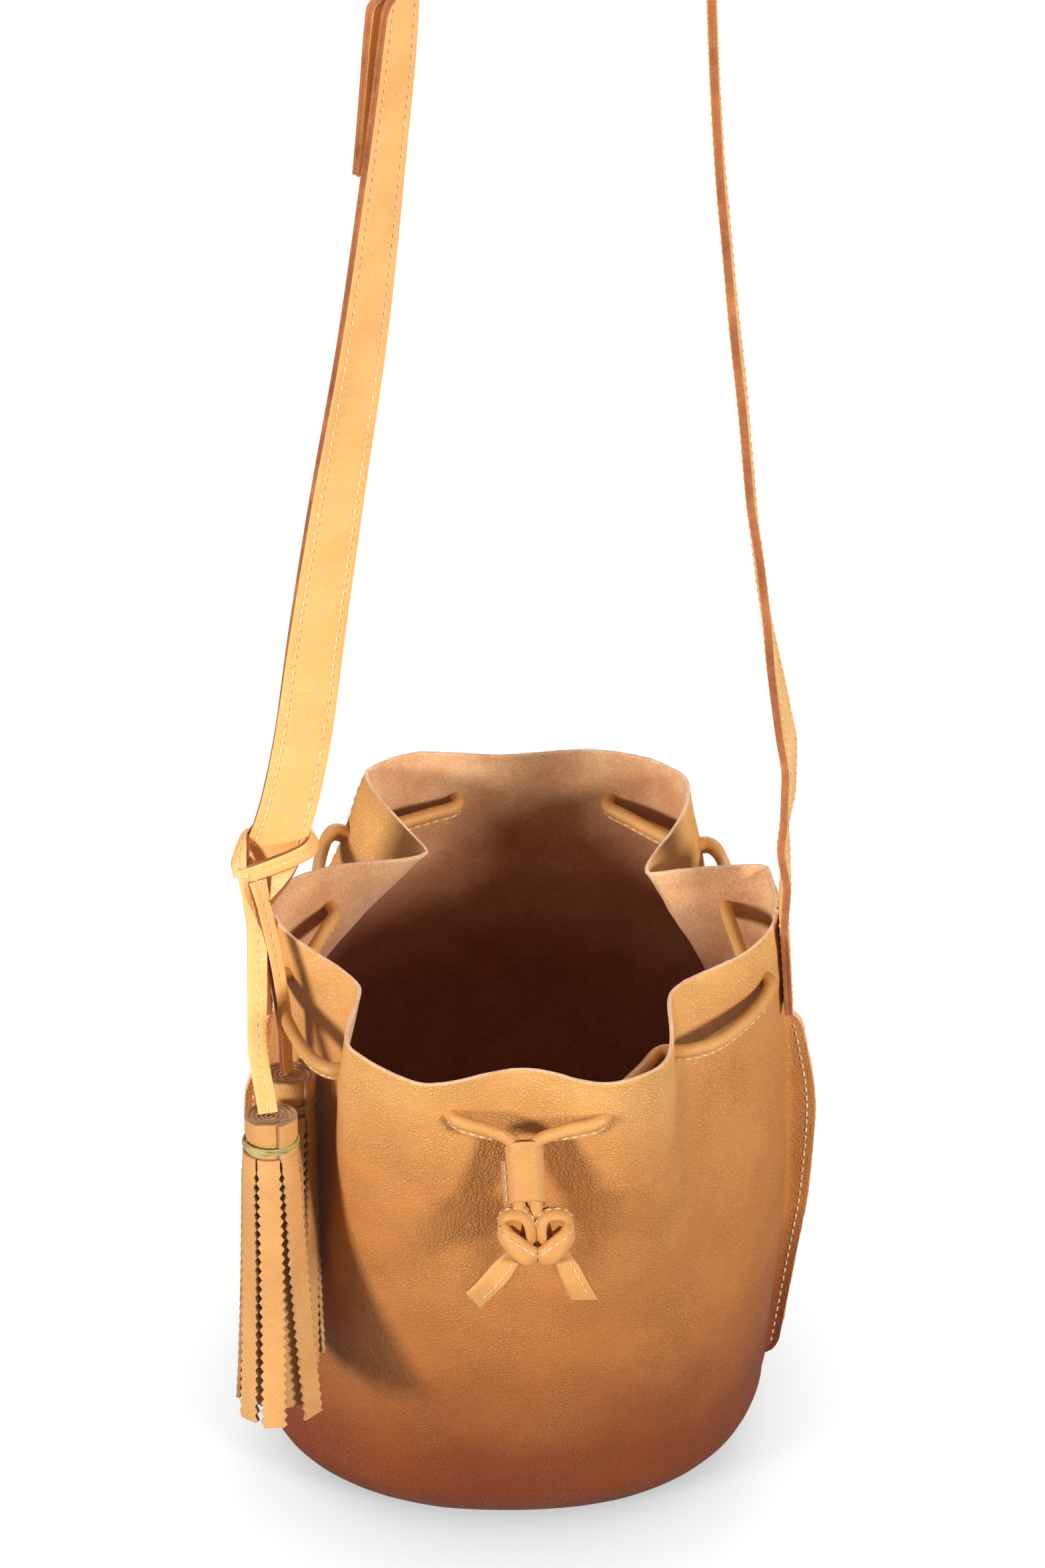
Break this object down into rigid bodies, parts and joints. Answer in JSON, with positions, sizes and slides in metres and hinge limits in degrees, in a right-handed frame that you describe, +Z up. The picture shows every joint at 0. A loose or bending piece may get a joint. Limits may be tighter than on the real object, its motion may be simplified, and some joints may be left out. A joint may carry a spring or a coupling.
{
  "type": "bucket bag",
  "caption": "Unlined leather bucket bag with a gathered drawcord mouth, an adjustable buckled shoulder strap and a pair of fringed tassels on a hitched lace.",
  "frame": {"origin": "centre of the base's flat underside, on the ground", "axes": "+Z up, -Y towards the front with the drawcord's knots, +X towards the strap's untwisted side"},
  "size_m": [0.2142, 0.2064, 0.7987],
  "materials": {
    "hide": "natural vegetable-tanned grain, satin",
    "cord": "folded and stitched strip, satin",
    "strap": "smooth grain, satin, raw edges",
    "strap_lining": "smooth grain, satin, raw edges",
    "tassel": "grain outside, suede inside, pinked edges",
    "waxed_thread": "waxed olive thread",
    "stitching": "cream sewing thread",
    "brass": "satin brass"
  },
  "bodies": {
    "bag": {"front_panel": "hide", "back_panel": "hide", "base_panel": "hide", "drawcord": "cord", "cord_legs": "cord", "strap_foot_left_outer": "strap", "strap_foot_left_lining": "strap_lining", "strap_foot_right_outer": "strap", "strap_foot_right_lining": "strap_lining", "lace_hitch": "cord"},
    "cord_sleeve": {"cord_sleeve": "cord"},
    "cord_ends": {"cord_end_left": "cord", "cord_end_right": "cord"},
    "strap": {"short_strap_outer": "strap", "short_strap_lining": "strap_lining", "long_strap_outer": "strap", "long_strap_lining": "strap_lining", "buckle_frame": "brass"},
    "strap_keeper": {"strap_keeper": "strap"},
    "buckle_prong": {"buckle_prong": "brass"},
    "lace_front": {"lace_leg_front": "cord"},
    "tassel_front": {"tassel_front": "tassel", "tassel_front_binding": "waxed_thread"},
    "lace_rear": {"lace_leg_rear": "cord"},
    "tassel_rear": {"tassel_rear": "tassel", "tassel_rear_binding": "waxed_thread"}
  },
  "joints": [
    {"name": "strap_swing", "type": "hinge", "parent": "bag", "child": "strap", "pos_m": [0, 0, 0.31], "axis": [1, 0, 0], "range_deg": [-80, 80]},
    {"name": "keeper_slide", "type": "slide", "parent": "strap", "child": "strap_keeper", "axis": [0, 0, 1], "range_m": [-0.003, 0.003]},
    {"name": "prong_swing", "type": "hinge", "parent": "strap", "child": "buckle_prong", "pos_m": [-0.038, 0, 0.698], "axis": [0, -1, 0], "range_deg": [0, 30]},
    {"name": "sleeve_slide", "type": "slide", "parent": "bag", "child": "cord_sleeve", "axis": [-0.0599, 0.4219, 0.9047], "range_m": [0, 0.008], "deforming": ["cord_legs"]},
    {"name": "cord_ends_slide", "type": "slide", "parent": "bag", "child": "cord_ends", "axis": [-0.0599, 0.4219, 0.9047], "range_m": [0, 0.006]},
    {"name": "lace_front_swing", "type": "hinge", "parent": "bag", "child": "lace_front", "pos_m": [-0.094, -0.0165, 0.269], "axis": [-0.867, 0.4983, 0], "range_deg": [0, 50]},
    {"name": "tassel_front_swing", "type": "hinge", "parent": "lace_front", "child": "tassel_front", "pos_m": [-0.089, -0.062, 0.214], "axis": [-0.867, 0.4983, 0], "range_deg": [0, 45]},
    {"name": "lace_rear_swing", "type": "hinge", "parent": "bag", "child": "lace_rear", "pos_m": [-0.104, -0.0075, 0.2675], "axis": [0.3011, 0.9536, 0], "range_deg": [0, 50]},
    {"name": "tassel_rear_swing", "type": "hinge", "parent": "lace_rear", "child": "tassel_rear", "pos_m": [-0.0828, -0.039, 0.212], "axis": [0.3011, 0.9536, 0], "range_deg": [0, 20]}
  ],
  "couplings": [
    {"joint": "cord_ends_slide", "follows": "sleeve_slide", "ratio": 0.7}
  ]
}
